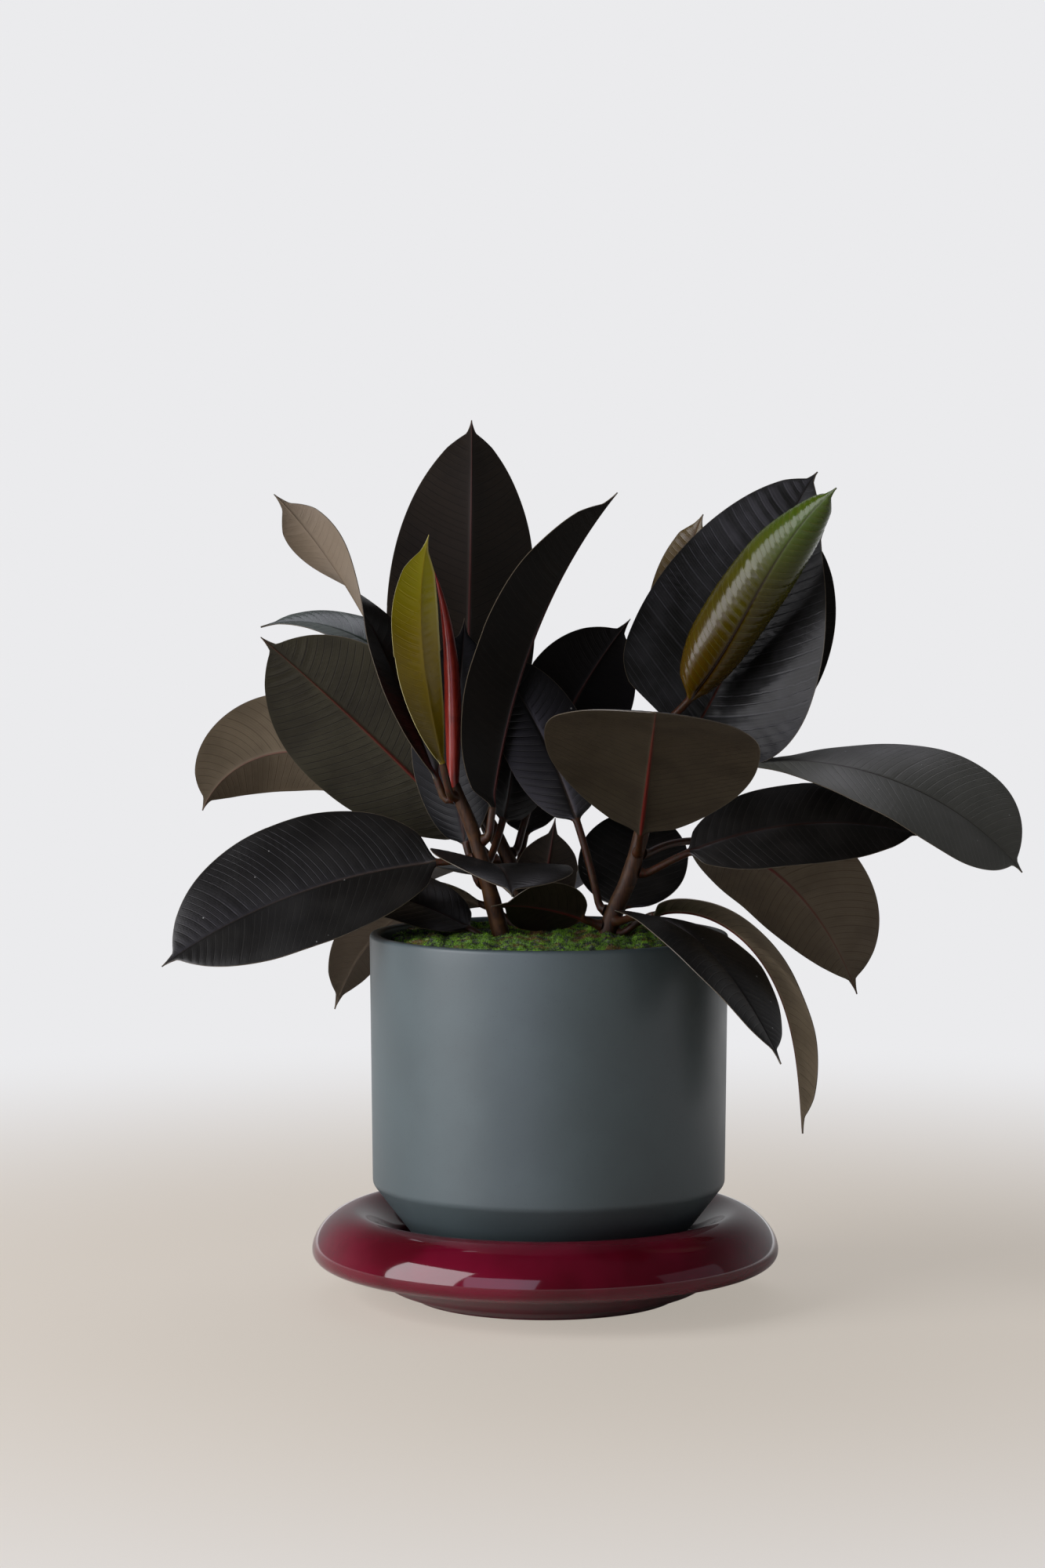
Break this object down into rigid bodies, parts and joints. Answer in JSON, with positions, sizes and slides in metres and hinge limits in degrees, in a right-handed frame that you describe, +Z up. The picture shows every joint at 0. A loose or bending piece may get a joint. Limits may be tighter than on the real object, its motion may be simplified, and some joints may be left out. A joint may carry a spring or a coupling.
{
  "type": "potted rubber plant",
  "caption": "Rubber plant with broad glossy leaves on short woody stems, in a tapered drum pot filled with moss, standing in a round saucer with a fat rolled rim.",
  "frame": {"origin": "centre of the saucer's flat foot, on the surface it stands on", "axes": "+Z up, -Y towards the plant's front, +X to the front view's right"},
  "size_m": [0.477, 0.3471, 0.4894],
  "materials": {
    "saucer_glaze": "glossy burgundy glaze",
    "pot_glaze": "satin slate grey",
    "soil": "moist crumbly potting soil",
    "moss": "soft bright green moss",
    "stem_bark": "orange-brown bark with leaf scars",
    "leaf_dark": "satin near-black upper side, matte taupe underside",
    "leaf_new": "glossy yellow-green",
    "leaf_young": "satin brown",
    "sheath": "satin red"
  },
  "bodies": {
    "root": {"leaf_back_left": "leaf_dark", "leaf_back_low_left": "leaf_dark", "leaf_back_low_right": "leaf_dark", "leaf_back_middle": "leaf_dark", "leaf_back_olive": "leaf_dark", "leaf_back_right_up": "leaf_dark", "leaf_back_up": "leaf_dark", "leaf_behind_great": "leaf_dark", "leaf_behind_stem": "leaf_dark", "leaf_behind_wide": "leaf_dark", "leaf_brown_tip": "leaf_young", "leaf_centre": "leaf_dark", "leaf_centre_low": "leaf_dark", "leaf_centre_small": "leaf_dark", "leaf_fan": "leaf_dark", "leaf_far_left": "leaf_dark", "leaf_folded": "leaf_dark", "leaf_front_left": "leaf_dark", "leaf_great": "leaf_dark", "leaf_hanging_right": "leaf_dark", "leaf_low_back": "leaf_dark", "leaf_low_centre": "leaf_dark", "leaf_low_left": "leaf_dark", "leaf_new_left": "leaf_new", "leaf_new_right": "leaf_new", "leaf_over_rim": "leaf_dark", "leaf_reaching_right": "leaf_dark", "leaf_right_leaning": "leaf_dark", "leaf_rim_left": "leaf_dark", "leaf_shade_left": "leaf_dark", "leaf_tall": "leaf_dark", "leaf_trailing": "leaf_dark", "leaf_under_right": "leaf_dark", "leaf_wide": "leaf_dark", "moss": "moss", "pot": "pot_glaze", "saucer": "saucer_glaze", "sheath_left": "sheath", "soil": "soil", "stem_back": "stem_bark", "stem_left": "stem_bark", "stem_right": "stem_bark"}
  },
  "joints": []
}
